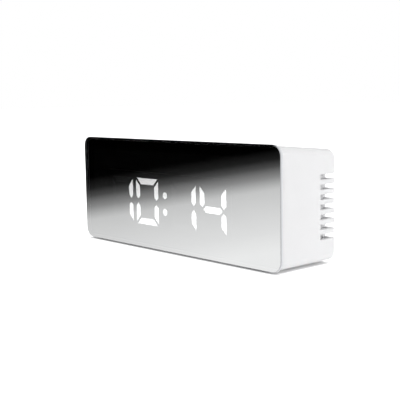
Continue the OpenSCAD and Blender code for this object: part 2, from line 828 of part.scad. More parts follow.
module battery_door() {
    color("white") {
        difference() {
            span([bay_x - door_w / 2, back_y - door_t, axis_z], [bay_x + door_w / 2, back_y, door_top]);
            for (s = [-1, 1]) translate([bay_x + s * (latch_w + slit_w) / 2, 0, door_top])
                span([-slit_w / 2, back_y - door_t - overrun, -latch_h],
                    [slit_w / 2, back_y + overrun, overrun]);
        }
        translate([bay_x - door_w / 2, axis_y, axis_z]) rotate([0, 90, 0]) cylinder(r = pivot_r, h = door_w);
        translate([bay_x - door_w / 2 - pivot_pin_l, axis_y, axis_z]) rotate([0, 90, 0])
            cylinder(r = pin_r, h = door_w + 2 * pivot_pin_l);
    }
}

module battery_cells() {
    color("steelblue") for (i = [0 : cell_count - 1])
        translate([bay_x - flat_side(i) * (bay_w / 2 - contact_t - seat_gap), cell_y, cell_z(i)])
            rotate([0, flat_side(i) * 90, 0]) {
                cylinder(r = nub_r, h = cell_l);
                translate([0, 0, nub_l]) cylinder(r = cell_d / 2, h = cell_l - nub_l);
            }
}

// A cone of wire from the contact plate to the cell's flat end
function curl_points(l) = let (n = curls * curl_rings, run = l - 2 * wire_r - 2 * well_gap)
    [for (k = [0 : n]) let (r = spring_r + (spring_tip_r - spring_r) * k / n, a = 360 * k / curl_rings)
        [wire_r + well_gap + run * k / n, r * cos(a), r * sin(a)]];
module battery_springs() {
    color("silver") for (i = [0 : cell_count - 1])
        translate([bay_x + flat_side(i) * (bay_w / 2 - contact_t), cell_y, cell_z(i)])
            rotate([0, 0, flat_side(i) < 0 ? 0 : 180])
                tube(curl_points(spring_l), wire_r, wire_sides, [1, 0, 0]);
}

// Contact plates: single ones with a tab for a lead, and pairs that link two cells
module contact(side, low, high, tab) {
    translate([bay_x + side * bay_w / 2, 0, 0]) mirror([side < 0 ? 0 : 1, 0, 0]) {
        span([0, bay_floor, low - contact_w / 2], [contact_t, cell_y + contact_w / 2, high + contact_w / 2]);
        if (tab)
            span([0, lead_start, low - tab_w / 2], [contact_t, bay_floor, low + tab_w / 2]);
    }
}
module battery_contacts() {
    color("gold") {
        contact(-1, cell_z(0), cell_z(0), true);
        contact(-1, cell_z(1), cell_z(2), false);
        contact(1, cell_z(0), cell_z(1), false);
        contact(1, cell_z(2), cell_z(2), true);
    }
}

// A lead from a contact's tab to its pad on the display board, easing over as it goes
function lead_points(s) = [for (k = [0 : lead_rings]) let (t = k / lead_rings, e = t * t * (3 - 2 * t))
    [s * lead_shift * e, (board_back + fit_gap - lead_start) * t, 0]];
module lead(x, z, s) {
    translate([x, lead_start, z]) tube(lead_points(s), lead_r, lead_sides, [0, 0, 1]);
}
module red_lead() {
    color("red") lead(bay_right - contact_t / 2, cell_z(2), -1);
}
module black_lead() {
    color("black") lead(bay_left + contact_t / 2, cell_z(0), 1);
}

module rubber_feet() {
    color("dimgray") feet_places() cylinder(r = foot_d / 2, h = house_low + foot_sunk);
}

mirror_panel();
panel_tape();
front_carrier();
face_film();
digit_block();
lit_segments();
dark_segments();
segment_leds();
display_board();
display_screws();
controller_chip();
clock_crystal();
board_resistors();
ribbon_sockets();
ribbon_cable();
housing();
control_board();
control_screws();
board_capacitors();
buzzer();
thermistor();
switch_bodies();
mode_button();
set_button();
up_button();
down_button();
mode_plunger();
set_plunger();
up_plunger();
down_plunger();
slide_switch_body();
brightness_slider();
usb_socket();
battery_door();
battery_cells();
battery_springs();
battery_contacts();
red_lead();
black_lead();
rubber_feet();
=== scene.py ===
"""Mirror alarm clock: finishes, softened edges and a small studio around the packed model.

Everything is in metres, in the frame of the packed model: the clock stands on z = 0 and faces -Y.
"""

import math

import bmesh
import bpy
from bpy.props import FloatProperty, FloatVectorProperty, IntProperty, PointerProperty
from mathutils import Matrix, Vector


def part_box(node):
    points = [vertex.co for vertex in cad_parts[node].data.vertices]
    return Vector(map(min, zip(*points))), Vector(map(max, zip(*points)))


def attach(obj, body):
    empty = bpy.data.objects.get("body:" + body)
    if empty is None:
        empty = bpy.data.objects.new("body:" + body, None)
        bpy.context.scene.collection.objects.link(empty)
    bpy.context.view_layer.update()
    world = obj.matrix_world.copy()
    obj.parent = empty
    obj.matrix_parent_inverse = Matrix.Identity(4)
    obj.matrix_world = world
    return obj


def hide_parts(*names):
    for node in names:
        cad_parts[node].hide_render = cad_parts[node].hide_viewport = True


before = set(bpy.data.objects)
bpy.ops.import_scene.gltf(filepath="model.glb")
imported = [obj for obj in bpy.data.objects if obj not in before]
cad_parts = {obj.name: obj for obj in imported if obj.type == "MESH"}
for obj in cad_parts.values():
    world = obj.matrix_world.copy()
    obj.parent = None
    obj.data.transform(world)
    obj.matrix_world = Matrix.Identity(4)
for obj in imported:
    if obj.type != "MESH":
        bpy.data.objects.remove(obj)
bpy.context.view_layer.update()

bl_info = {
    "name": "Mirror alarm clock",
    "version": (1, 0, 0),
    "blender": (4, 5, 0),
    "location": "View3D > Sidebar > Clock",
    "description": "Builds the visible pieces of a mirror alarm clock, its finishes and its studio",
    "category": "Object",
}

MM = 0.001
SMOOTH_ANGLE = math.radians(32)
SHARP_ANGLE = math.radians(40)
# A mirror shows the slightest bend in its shading, so the panel's rim doesn't blend into its face
PANEL_ANGLE = math.radians(15)
FLAT_ANGLE = math.radians(0.5)
# A face looks along an axis when its normal reaches this far along it
FACING = 0.99
NUDGE = 0.02 * MM
MERGE = 0.001 * MM
QUARTER = math.pi / 2
WHITE = (1, 1, 1, 1)


def linear(code):
    """An sRGB hex colour as linear red, green and blue."""
    parts = [int(code[i : i + 2], 16) / 255 for i in (1, 3, 5)]
    return tuple(c / 12.92 if c <= 0.04045 else ((c + 0.055) / 1.055) ** 2.4 for c in parts)


def shade(colour, share):
    """A linear colour made darker or lighter by a share, with its alpha."""
    return tuple(min(1, c * share) for c in colour[:3]) + (1,)


# Modelling


def deselect():
    if bpy.context.object and bpy.context.object.mode != "OBJECT":
        bpy.ops.object.mode_set(mode="OBJECT")
    bpy.ops.object.select_all(action="DESELECT")


def activate(piece):
    deselect()
    piece.select_set(True)
    bpy.context.view_layer.objects.active = piece


def named(name):
    """The object that an operator has just added, under its own name and with its place in its mesh."""
    piece = bpy.context.object
    bpy.ops.object.transform_apply()
    piece.name = name
    piece.data.name = name
    return piece


def edit(piece, kind, test=None):
    """Opens a piece in edit mode and selects the faces, edges or vertices that pass a test, or all."""
    activate(piece)
    bpy.ops.object.mode_set(mode="EDIT")
    bpy.ops.mesh.select_mode(type=kind)
    bpy.ops.mesh.select_all(action="DESELECT" if test else "SELECT")
    if test:
        mesh = bmesh.from_edit_mesh(piece.data)
        mesh.normal_update()
        for part in {"FACE": mesh.faces, "EDGE": mesh.edges, "VERT": mesh.verts}[kind]:
            if test(part):
                part.select_set(True)
        mesh.select_flush_mode()
        bmesh.update_edit_mesh(piece.data)


def drop_normals(piece):
    """Clears stored normals, which no longer fit after a change of form."""
    if "custom_normal" in piece.data.attributes:
        piece.data.attributes.remove(piece.data.attributes["custom_normal"])


def smooth(piece, angle=SMOOTH_ANGLE):
    """Shades a piece smooth up to an angle, and keeps flat faces flat beside their soft rims."""
    activate(piece)
    drop_normals(piece)
    bpy.ops.object.shade_smooth_by_angle(angle=angle)
    modifier = piece.modifiers.new("Weigh", "WEIGHTED_NORMAL")
    modifier.keep_sharp = True
    bpy.ops.object.modifier_apply(modifier=modifier.name)
    return piece


def closed(piece, angle=SMOOTH_ANGLE):
    """Turns every face outwards, leaves edit mode and shades the piece smooth."""
    edit(piece, "FACE")
    bpy.ops.mesh.normals_make_consistent(inside=False)
    return smooth(piece, angle)


def round_edges(piece, radius, test, segments=3):
    """Rounds the edges that pass a test."""
    edit(piece, "EDGE", test)
    bpy.ops.mesh.bevel(offset=radius, segments=segments, affect="EDGES", clamp_overlap=False)
    deselect()


def is_sharp(edge):
    """True for an outward edge between two faces that meet at a clear angle."""
    return len(edge.link_faces) == 2 and edge.is_convex and edge.calc_face_angle() > SHARP_ANGLE


def both_ends(edge, test):
    return all(test(vertex.co) for vertex in edge.verts)


def run_back(edge):
    """How far an edge runs along Y."""
    return abs(edge.verts[0].co.y - edge.verts[1].co.y)


def rims_behind(y):
    """A test for the sharp edges that lie behind a place along Y."""
    return lambda edge: is_sharp(edge) and both_ends(edge, lambda point: point.y > y)


def cuboid(name, low, high):
    deselect()
    low, high = Vector(low), Vector(high)
    bpy.ops.mesh.primitive_cube_add(size=1, location=(low + high) / 2, scale=high - low)
    return named(name)


def turned(name, profile, place, turn, sides=64):
    """A turned piece: a disc drawn out along Z through the (radius, height) steps of its profile."""
    deselect()
    first_radius, first_height = profile[0]
    bpy.ops.mesh.primitive_circle_add(
        vertices=sides, radius=first_radius, fill_type="NGON", location=(0, 0, first_height)
    )
    piece = named(name)
    edit(piece, "FACE")
    for (radius, height), (last_radius, last_height) in zip(profile[1:], profile):
        rise = (0, 0, height - last_height)
        bpy.ops.mesh.extrude_region_move(TRANSFORM_OT_translate={"value": rise})
        share = radius / last_radius
        bpy.ops.transform.resize(value=(share, share, 1))
    activate(piece)
    piece.rotation_euler = turn
    piece.location = place
    bpy.ops.object.transform_apply()
    return closed(piece)


def wire(name, points, radius, sides=4):
    """A round wire along points, as a mesh."""
    deselect()
    bpy.ops.curve.primitive_nurbs_path_add()
    piece = bpy.context.object
    curve = piece.data
    curve.splines.clear()
    spline = curve.splines.new("POLY")
    spline.points.add(len(points) - 1)
    for target, point in zip(spline.points, points):
        target.co = (*point, 1)
    curve.bevel_depth = radius
    curve.bevel_resolution = sides
    curve.use_fill_caps = True
    bpy.ops.object.convert(target="MESH")
    edit(piece, "VERT")
    bpy.ops.mesh.remove_doubles(threshold=MERGE)
    activate(piece)
    return closed(named(name))


def copy_of_node(node, name):
    """A merged copy of a CAD node, with flat faces whole again, to be shaped further."""
    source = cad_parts[node]
    piece = source.copy()
    piece.data = source.data.copy()
    piece.parent = None
    for key in list(piece.keys()):
        del piece[key]
    piece.name = name
    piece.data.name = name
    piece.data.materials.clear()
    bpy.context.scene.collection.objects.link(piece)
    drop_normals(piece)
    edit(piece, "VERT")
    bpy.ops.mesh.remove_doubles(threshold=MERGE)
    bpy.ops.mesh.select_all(action="SELECT")
    bpy.ops.mesh.dissolve_limited(angle_limit=FLAT_ANGLE)
    deselect()
    return piece


def cut(piece, tool):
    """Takes a tool piece out of another and deletes the tool."""
    activate(piece)
    modifier = piece.modifiers.new("Cut", "BOOLEAN")
    modifier.operation = "DIFFERENCE"
    modifier.solver = "EXACT"
    modifier.object = tool
    bpy.ops.object.modifier_apply(modifier=modifier.name)
    bpy.data.objects.remove(tool)


def join(name, pieces):
    """Several pieces as one, under a new name."""
    deselect()
    for piece in pieces:
        piece.select_set(True)
    bpy.context.view_layer.objects.active = pieces[0]
    bpy.ops.object.join()
    return named(name)


def paint(piece, *choices):
    """Gives a piece its materials: the first all over, each later one where a face passes its test."""
    piece.data.materials.clear()
    for choice in choices:
        piece.data.materials.append(choice[0] if isinstance(choice, tuple) else choice)
    for polygon in piece.data.polygons:
        polygon.material_index = 0
        for index, choice in enumerate(choices[1:], 1):
            if choice[1](polygon):
                polygon.material_index = index


def place(piece, body, slot, *nodes):
    """Makes a finished piece ride on its body and stand for its CAD nodes."""
    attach(piece, body)
    if nodes:
        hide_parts(*nodes)


def dress(material, *nodes):
    """Gives CAD nodes that stay as they are their finish."""
    for node in nodes:
        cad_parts[node].data.materials.clear()
        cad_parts[node].data.materials.append(material)


# Finishes


def add_node(tree, kind, inputs=None, leads=None, stops=(), **settings):
    """Adds a node with its settings and its links, and gives its outputs.

    Its kind is Blender's name less the "ShaderNode" in front. Inputs are values or sockets, leads
    are the sockets that its outputs go on to, and stops are a colour ramp's (position, colour)
    pairs, added one by one as the ramp sorts itself.
    """
    node = tree.nodes.new("ShaderNode" + kind)
    for name, value in settings.items():
        setattr(node, name, value)
    for name, value in (inputs or {}).items():
        if isinstance(value, bpy.types.NodeSocket):
            tree.links.new(value, node.inputs[name])
        else:
            node.inputs[name].default_value = value
    for name, socket in (leads or {}).items():
        tree.links.new(node.outputs[name], socket)
    if stops:
        elements = node.color_ramp.elements
        elements.remove(elements[-1])
        elements[0].position = stops[0][0]
        elements[0].color = (*stops[0][1][:3], 1)
        for position, colour in stops[1:]:
            elements.new(position).color = (*colour[:3], 1)
    return node.outputs


def new_finish(name, roughness, metallic=0.0, **sockets):
    """A new material, its shader with its constants on its own sockets, and the piece's coordinates."""
    material = bpy.data.materials.new(name)
    material.use_nodes = True
    tree = material.node_tree
    shader = tree.nodes["Principled BSDF"]
    for socket, value in {"Roughness": roughness, "Metallic": metallic, **sockets}.items():
        shader.inputs[socket.replace("_", " ")].default_value = value
    coordinates = add_node(tree, "TexCoord")["Object"]
    return material, tree, shader, coordinates


def add_mottle(tree, shader, coordinates, dark, light, size):
    """Lets the base colour drift between two tones over patches of a real size."""
    noise = add_node(
        tree, "TexNoise", {"Vector": coordinates, "Scale": 1 / size, "Detail": 3.0, "Roughness": 0.55}
    )
    leads = {"Color": shader.inputs["Base Color"]}
    stops = [(0.35, dark), (0.65, light)]
    add_node(tree, "ValToRGB", {"Fac": noise["Fac"]}, leads, stops)


def add_wear(tree, shader, coordinates, size, low, high):
    """Lets the roughness drift between two values over patches of a real size."""
    noise = add_node(tree, "TexNoise", {"Vector": coordinates, "Scale": 1 / size, "Detail": 2.0})
    add_node(
        tree,
        "MapRange",
        {"Value": noise["Fac"], "From Min": 0.3, "From Max": 0.7, "To Min": low, "To Max": high},
        {"Result": shader.inputs["Roughness"]},
    )


def add_lines(tree, shader, height, depth, stops):
    """Lets one pattern both tint a surface, darker in its lows, and raise it by a real depth."""
    leads = {"Color": shader.inputs["Base Color"]}
    add_node(tree, "ValToRGB", {"Fac": height}, leads, stops)
    leads = {"Normal": shader.inputs["Normal"]}
    add_node(tree, "Bump", {"Height": height, "Distance": depth}, leads)


def moulded(name, tone, roughness, grain, relief, spread=0.97, patch=14 * MM, **sockets):
    """Injection moulded plastic: even colour, a spark eroded grain, and gloss that drifts a little."""
    drift = 0.04
    material, tree, shader, coordinates = new_finish(name, roughness, **sockets)
    add_mottle(tree, shader, coordinates, shade(tone, spread), shade(tone, 1), patch)
    add_wear(tree, shader, coordinates, patch / 2, roughness - drift, roughness + drift)
    pores = add_node(
        tree, "TexNoise", {"Vector": coordinates, "Scale": 1 / grain, "Detail": 2.0, "Roughness": 0.6}
    )
    leads = {"Normal": shader.inputs["Normal"]}
    add_node(tree, "Bump", {"Height": pores["Fac"], "Distance": relief}, leads)
    return material


def dress_all(*rows):
    """Dresses nodes in plastics: name, colour, roughness, grain and relief in mm, spread, nodes."""
    for name, code, roughness, grain, relief, spread, *nodes in rows:
        dress(moulded(name, linear(code), roughness, grain * MM, relief * MM, spread), *nodes)


def white_abs(settings):
    """White ABS off a fine eroded tool: an even satin sheen, and light soaks through thin ribs."""
    return moulded(
        "white_abs",
        settings.colour,
        0.38,
        settings.grain,
        0.012 * MM,
        0.985,
        Subsurface_Weight=settings.soak_share,
        Subsurface_Radius=(1.0, 1.0, 1.0),
        Subsurface_Scale=settings.soak,
    )


def half_silvered_acrylic(settings):
    """Acrylic with a thin metal coat: a mirror that lets through some of what is lit behind it."""
    material, tree, shader, coordinates = new_finish(
        "half_silvered_acrylic", 0.03, 1.0, Alpha=settings.coat_share
    )
    add_mottle(
        tree, shader, coordinates, shade(settings.silver, 0.985), shade(settings.silver, 1), 30 * MM
    )
    add_wear(tree, shader, coordinates, 9 * MM, 0.015, 0.045)
    return material


def polished_acrylic_edge(settings):
    """The panel's polished edge: clear plastic, grey by the coat, with painted light that makes it
    paler towards the white housing.
    """
    material, tree, shader, coordinates = new_finish("polished_acrylic_edge", 0.16, IOR=1.49)
    low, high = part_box("mirror_panel")
    depth = add_node(tree, "SeparateXYZ", {"Vector": coordinates})["Y"]
    painted_glow_share = add_node(tree, "MapRange", {"Value": depth, "From Min": low.y, "From Max": high.y})
    leads = {"Color": shader.inputs["Base Color"]}
    # Painted light: the edge is drawn paler towards its back, where the white housing's light would
    # show through the clear plastic
    stops = [(at, shade(settings.edge, share)) for at, share in ((0.0, 1), (0.3, 1.1), (0.55, 1.75))]
    add_node(tree, "ValToRGB", {"Fac": painted_glow_share["Result"]}, leads, stops)
    add_wear(tree, shader, coordinates, 3 * MM, 0.12, 0.24)
    return material


def clear_acrylic(settings):
    """The panel's plain back face, which hides nothing behind it."""
    material, tree, shader, coordinates = new_finish("clear_acrylic", 0.08, Alpha=0.02, IOR=1.49)
    add_mottle(tree, shader, coordinates, shade(settings.edge, 0.9), shade(settings.edge, 1), 20 * MM)
    return material


def lit_diffuser(settings):
    """Milky resin with a lamp behind it: nearly even light, a little stronger over the lamp."""
    material, tree, shader, coordinates = new_finish("lit_diffuser", 0.4)
    add_mottle(tree, shader, coordinates, linear("#E6E8EA"), linear("#F4F6F8"), 5 * MM)
    cloud = add_node(tree, "TexNoise", {"Vector": coordinates, "Scale": 1 / (4 * MM), "Detail": 1.0})
    leads = {"Color": shader.inputs["Emission Color"]}
    stops = [(0.3, shade(settings.glow, 0.93)), (0.7, shade(settings.glow, 1))]
    add_node(tree, "ValToRGB", {"Fac": cloud["Fac"]}, leads, stops)
    shader.inputs["Emission Strength"].default_value = settings.glow_strength
    return material


def solder_mask():
    """Glass epoxy board under green solder mask, with its copper tracks just raised under it."""
    material, tree, shader, coordinates = new_finish("solder_mask", 0.3, Coat_Weight=0.4)
    upright = add_node(tree, "Mapping", {"Vector": coordinates, "Rotation": (QUARTER, 0, 0)})
    tracks = add_node(
        tree,
        "TexBrick",
        {
            "Vector": upright["Vector"],
            "Color1": (*linear("#0E5A2C"), 1),
            "Color2": (*linear("#0B4A26"), 1),
            "Mortar": (*linear("#2C8A4A"), 1),
            "Scale": 1.0,
            "Mortar Size": 0.25 * MM,
            "Brick Width": 5 * MM,
            "Row Height": 1.6 * MM,
        },
        {"Color": shader.inputs["Base Color"]},
        offset=0.35,
    )
    leads = {"Normal": shader.inputs["Normal"]}
    add_node(tree, "Bump", {"Height": tracks["Fac"], "Distance": 0.03 * MM}, leads)
    return material


def plated_metal(name, tone, roughness, grain=0.5 * MM):
    """Plated steel: a bright metal whose gloss is broken up by the fine crystals of its plating."""
    material, tree, shader, coordinates = new_finish(name, roughness, 1.0)
    add_mottle(tree, shader, coordinates, shade(tone, 0.9), shade(tone, 1), 3 * MM)
    add_wear(tree, shader, coordinates, grain, roughness - 0.08, roughness + 0.1)
    return material


def drawn_metal(name, tone, roughness):
    """Metal drawn or rolled through tools, with fine lines along its length."""
    line_length, line_width = 4 * MM, 0.2 * MM
    material, tree, shader, coordinates = new_finish(name, roughness, 1.0)
    scale = (1 / line_length, 1 / line_width, 1 / line_width)
    stretched = add_node(tree, "Mapping", {"Vector": coordinates, "Scale": scale})["Vector"]
    lines = add_node(tree, "TexNoise", {"Vector": stretched, "Scale": 1.0, "Detail": 3.0})
    stops = [(0.3, shade(tone, 0.82)), (0.7, shade(tone, 1))]
    add_lines(tree, shader, lines["Fac"], 0.01 * MM, stops)
    return material


def ribbed_pvc(tone, pitch):
    """Flat cable: soft grey plastic with a low ridge over each conductor, and painted shade in the
    valleys between them.
    """
    material, tree, shader, coordinates = new_finish("ribbed_pvc", 0.5)
    # At a scale of 1 the wave texture has 20 radians to a unit
    wave_radians = 20
    scale = 1 / pitch / wave_radians * math.tau
    ridges = add_node(tree, "TexWave", {"Vector": coordinates, "Scale": scale}, bands_direction="X")
    # Painted shade: the valleys between the ridges are drawn darker, as if shade fell between the
    # conductors
    stops = [(0.1, shade(tone, 0.7)), (0.6, shade(tone, 1))]
    add_lines(tree, shader, ridges["Fac"], 0.1 * MM, stops)
    return material


# Settings


def colour_of(name, description, code):
    return FloatVectorProperty(
        name=name, description=description, subtype="COLOR", size=3, min=0, max=1, default=linear(code)
    )


def length_of(name, description, value):
    return FloatProperty(
        name=name, description=description, unit="LENGTH", min=0, precision=5, default=value
    )


def amount_of(name, description, value, **limits):
    return FloatProperty(name=name, description=description, default=value, **{"min": 0, **limits})


class ClockMirrorSettings(bpy.types.PropertyGroup):
    """The front panel."""

    silver: colour_of("Silver", "Colour of the mirror coat", "#F4F5F5")
    edge: colour_of("Edge", "Colour of the panel's polished edge", "#B2B3B6")
    coat_share: amount_of("Coat", "Share of the light that the coat turns back", 0.8, min=0.5, max=1)
    corner: length_of("Corner", "Radius of the panel's corners", 4.8 * MM)
    rim: length_of("Rim", "Radius of the polished rim", 0.1 * MM)
    border: length_of("Border", "Width of the black print round the back of the panel", 5 * MM)


class ClockDisplaySettings(bpy.types.PropertyGroup):
    """The lit digits."""

    glow: colour_of("Glow", "Colour of the lit bars", "#FFFFFF")
    glow_strength: amount_of("Strength", "Strength of the lit bars behind the coat", 2.8)


class ClockHousingSettings(bpy.types.PropertyGroup):
    """The white housing and its battery door."""

    colour: colour_of("Plastic", "Colour of the white plastic", "#F1F1F2")
    grain: length_of("Grain", "Size of the moulded grain, drawn coarse enough to show", 0.7 * MM)
    rim: length_of("Rim", "Radius of the rims of slots and recesses", 0.25 * MM)
    soak: length_of("Soak", "How far light soaks into the white plastic", 1.5 * MM)
    soak_share: amount_of("Soak share", "Share of the light that soaks in", 0.6, max=1)
    groove_count: IntProperty(
        name="Grooves", description="Number of grip grooves on the battery door", min=0, default=3
    )
    groove_pitch: length_of("Groove pitch", "Distance between the grip grooves", 2 * MM)


class ClockControlSettings(bpy.types.PropertyGroup):
    """The keys, the brightness slider and the power inlet."""

    keys: colour_of("Keys", "Colour of the keys", "#E9E9EA")
    rim: length_of("Rim", "Radius of the keys' rims", 0.45 * MM)
    dish: length_of("Dish", "Depth of the hollow in a key", 0.25 * MM)
    mark: length_of("Mark", "Depth of the marks in the keys", 0.35 * MM)
    mark_radius: length_of("Mark size", "Radius of the marks in the keys", 1.6 * MM)
    ink: colour_of("Ink", "Colour of the paint in the marks", "#77797D")


class ClockBatterySettings(bpy.types.PropertyGroup):
    """The cells, their springs and their leads."""

    sleeve: colour_of("Sleeve", "Colour of the cells' sleeves", "#2B4A6B")
    band: colour_of("Band", "Colour of the band at the raised end", "#C9CCD0")
    curls: amount_of("Curls", "Turns of a contact spring", 3.5, min=1)


class ClockStageSettings(bpy.types.PropertyGroup):
    """The floor, the light and the camera."""

    floor: colour_of("Floor", "Colour of the floor", "#FAFAFA")
    floor_glow: amount_of("Glow", "Light from under the pale floor", 0.12)
    contact: length_of("Contact", "Reach of the shadow close to what stands on the floor", 2.2 * MM)
    sky_strength: amount_of("Sky", "Strength of the even light", 0.52)
    lamp_power: amount_of("Lamps", "Power of the soft lamps at the sides", 3.5, unit="POWER")
    camera_place: FloatVectorProperty(
        name="Camera",
        description="Place of the camera",
        unit="LENGTH",
        default=(0.28853, -0.25574, 0.07159),
    )
    camera_turn: FloatVectorProperty(
        name="Turn",
        description="Turn of the camera about X, Y and Z",
        unit="ROTATION",
        default=(math.radians(82.892), math.radians(0.91), math.radians(48.234)),
    )
    lens: amount_of("Lens", "Focal length in millimetres", 73.46, min=1)


# Pieces


class CLOCK_OT_add_mirror(bpy.types.Operator):
    """Add the half silvered front panel with its polished edge"""

    bl_idname = "clock.add_mirror"
    bl_label = "Mirror panel"

    def execute(self, context):
        settings = context.scene.clock_mirror
        low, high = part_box("mirror_panel")
        panel = cuboid("mirror_glass", low, high)
        corner_steps = 16
        round_edges(
            panel, settings.corner, lambda e: e.verts[0].co.xz == e.verts[1].co.xz, corner_steps
        )
        round_edges(panel, settings.rim, lambda e: is_sharp(e) and run_back(e) < NUDGE, 2)
        edit(panel, "FACE", lambda f: f.normal.y > FACING)
        bpy.ops.mesh.inset(thickness=settings.border)
        closed(panel, PANEL_ANGLE)
        middle = (low + high) / 2
        window = (high - low) / 2 - Vector((1, 1, 1)) * settings.border

        def in_border(face):
            off = face.center - middle
            return face.normal.y > FACING and (abs(off.x) > window.x or abs(off.z) > window.z)

        # Screen printed ink, matt and dead black, so that the housing's pale rim doesn't show through
        ink = moulded("back_print", linear("#070708"), 0.6, 0.3 * MM, 0.002 * MM, 0.85)
        paint(
            panel,
            polished_acrylic_edge(settings),
            (half_silvered_acrylic(settings), lambda f: f.normal.y < -FACING),
            (clear_acrylic(settings), lambda f: f.normal.y > FACING),
            (ink, in_border),
        )
        place(panel, "case", "half_mirror", "mirror_panel")
        return {"FINISHED"}


class CLOCK_OT_add_display(bpy.types.Operator):
    """Finish the display: film, reflector block, lit and dark bars, and lamps"""

    bl_idname = "clock.add_display"
    bl_label = "Display"

    def execute(self, context):
        dress(lit_diffuser(context.scene.clock_display), "lit_segments")
        dress_all(
            # Smoked resin without a lamp on: dark and dull behind the coat
            ("dark_diffuser", "#3A3A3C", 0.5, 0.4, 0.004, 0.97, "dark_segments"),
            # Printed film: dead black, so nothing shows between the bars
            ("black_film", "#0A0A0B", 0.62, 0.3, 0.002, 0.8, "face_film"),
            # Filled white plastic: chalky, throws the lamps' light forward
            ("reflector_white", "#EEEEEA", 0.5, 0.5, 0.006, 0.97, "digit_block"),
            # Cast resin with phosphor in it: yellow and glossy
            ("lamp_resin", "#EBD98C", 0.2, 0.5, 0.001, 0.97, "segment_leds"),
            # Foam with open pores at its cut edge: black without a sheen
            ("foam_tape", "#0E0E0F", 0.8, 0.25, 0.03, 0.9, "panel_tape"),
            # Black ABS off a textured tool: a low satin
            ("black_abs", "#101012", 0.5, 0.6, 0.01, 0.9, "front_carrier"),
        )
        return {"FINISHED"}


def outer_rims():
    """A test for the sharp rims in the housing's outer skin: slots, recesses, pockets and the front."""
    low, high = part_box("housing")
    # Rims that lie deeper than this under the skin are inside the housing and stay sharp
    skin = 1.1 * MM

    def in_skin(point):
        return (
            abs(point.x) > high.x - skin
            or point.y > high.y - skin
            or point.y < low.y + NUDGE
            or point.z < low.z + skin
        )

    return lambda edge: is_sharp(edge) and both_ends(edge, in_skin)


class CLOCK_OT_add_housing(bpy.types.Operator):
    """Add the white housing with softened slots, recesses and rims"""

    bl_idname = "clock.add_housing"
    bl_label = "Housing"

    def execute(self, context):
        settings = context.scene.clock_housing
        shell = copy_of_node("housing", "housing_shell")
        round_edges(shell, settings.rim, outer_rims(), 2)
        smooth(shell)
        paint(shell, white_abs(settings))
        place(shell, "case", "white_abs", "housing")
        return {"FINISHED"}


class CLOCK_OT_add_door(bpy.types.Operator):
    """Add the battery door with soft rims and grip grooves on its latch"""

    bl_idname = "clock.add_door"
    bl_label = "Battery door"

    def execute(self, context):
        settings = context.scene.clock_housing
        low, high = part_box("battery_door")
        middle = (low.x + high.x) / 2
        lid = copy_of_node("battery_door", "battery_lid")
        groove_length = 10 * MM
        groove_radius = 1.2 * MM
        groove_depth = 0.35 * MM
        first_groove = 2.6 * MM
        rim_share = 0.8
        y = high.y + groove_radius - groove_depth
        for k in range(settings.groove_count):
            deselect()
            bpy.ops.mesh.primitive_cylinder_add(
                vertices=32,
                radius=groove_radius,
                depth=groove_length,
                location=(middle, y, high.z - first_groove - k * settings.groove_pitch),
                rotation=(0, QUARTER, 0),
            )
            cut(lid, named("groove_tool"))
        round_edges(lid, settings.rim * rim_share, rims_behind(high.y - NUDGE), 2)
        smooth(lid)
        paint(lid, bpy.data.materials["white_abs"])
        place(lid, "door", "white_abs", "battery_door")
        return {"FINISHED"}


KEYS = ("mode", "set", "up", "down")


def key_mark(key, centre, depth, radius):
    """The tool that cuts a key's plain mark: a ring, a dot or a triangle."""
    deselect()
    ring_width = 0.6 * MM
    dot_share = 0.6
    if key == "mode":
        bpy.ops.mesh.primitive_torus_add(
            major_radius=radius - ring_width / 2,
            minor_radius=ring_width / 2,
            major_segments=48,
            minor_segments=12,
            location=centre,
            rotation=(QUARTER, 0, 0),
        )
    elif key == "set":
        bpy.ops.mesh.primitive_uv_sphere_add(
            segments=32,
            ring_count=16,
            radius=radius * dot_share,
            location=centre,
            scale=(1, dot_share, 1),
        )
    else:
        bpy.ops.mesh.primitive_cylinder_add(
            vertices=3,
            radius=radius,
            depth=4 * depth,
            location=centre,
            rotation=(QUARTER, math.pi if key == "down" else 0, 0),
        )
    return named("mark_tool")


